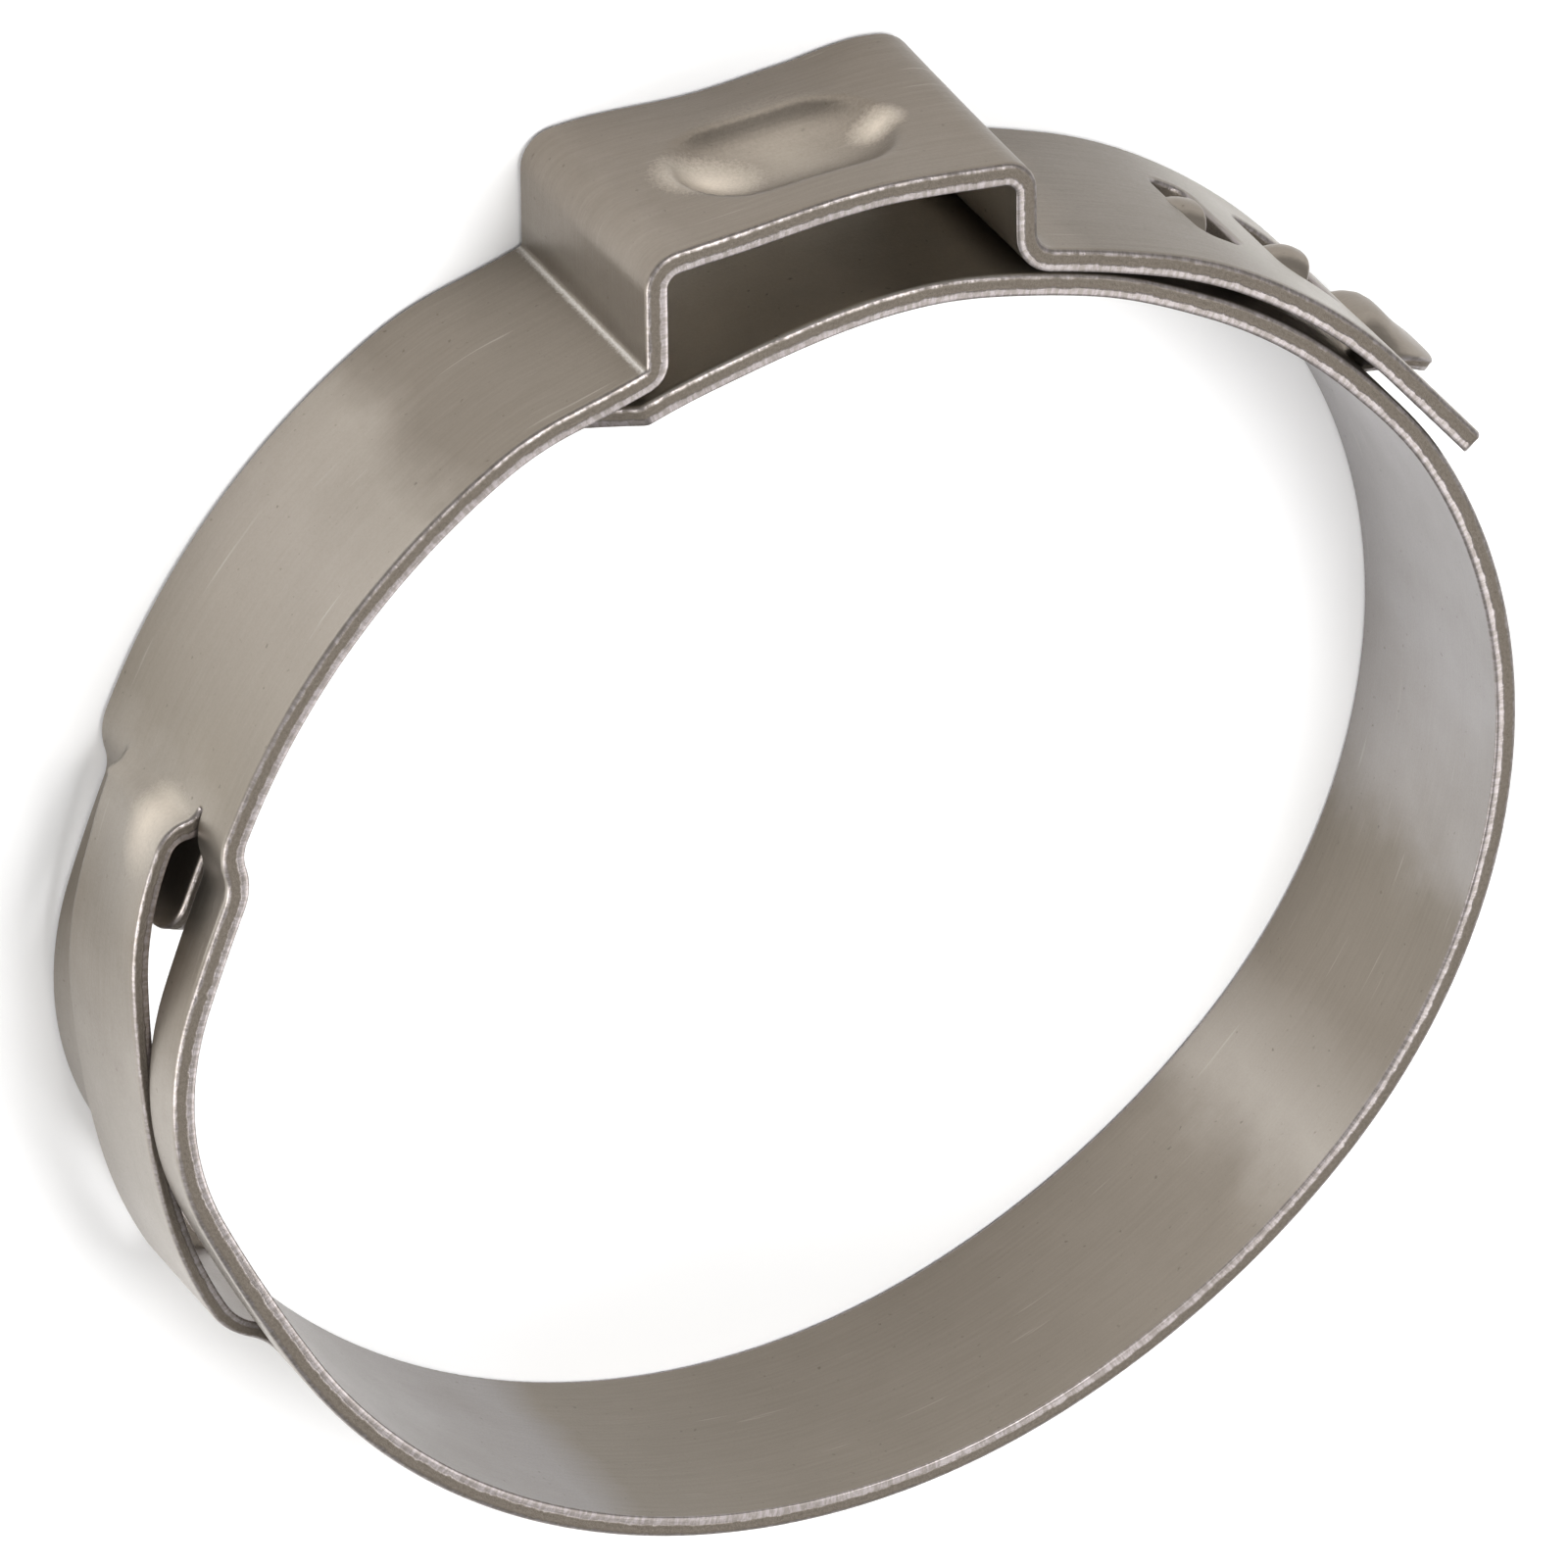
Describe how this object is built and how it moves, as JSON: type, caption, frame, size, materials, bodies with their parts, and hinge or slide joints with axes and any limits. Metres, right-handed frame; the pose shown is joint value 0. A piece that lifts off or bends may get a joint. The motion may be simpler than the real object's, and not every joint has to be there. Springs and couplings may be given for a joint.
{
  "type": "ear hose clamp",
  "caption": "Stepless ear clamp: one thin steel band wound past a full turn, with a raised ear to pinch, hooks in windows and a tongue sliding under a lanced belt.",
  "frame": {"origin": "centre of the bore, at the band edge that the clamp lies on", "axes": "+Z along the bore axis, +Y from the bore axis to the middle of the ear"},
  "size_m": [0.0383, 0.0386, 0.007],
  "materials": {
    "stainless_strip": "cold-rolled satin stainless steel"
  },
  "bodies": {
    "root": {"clamp_band": "stainless_strip"}
  },
  "joints": []
}
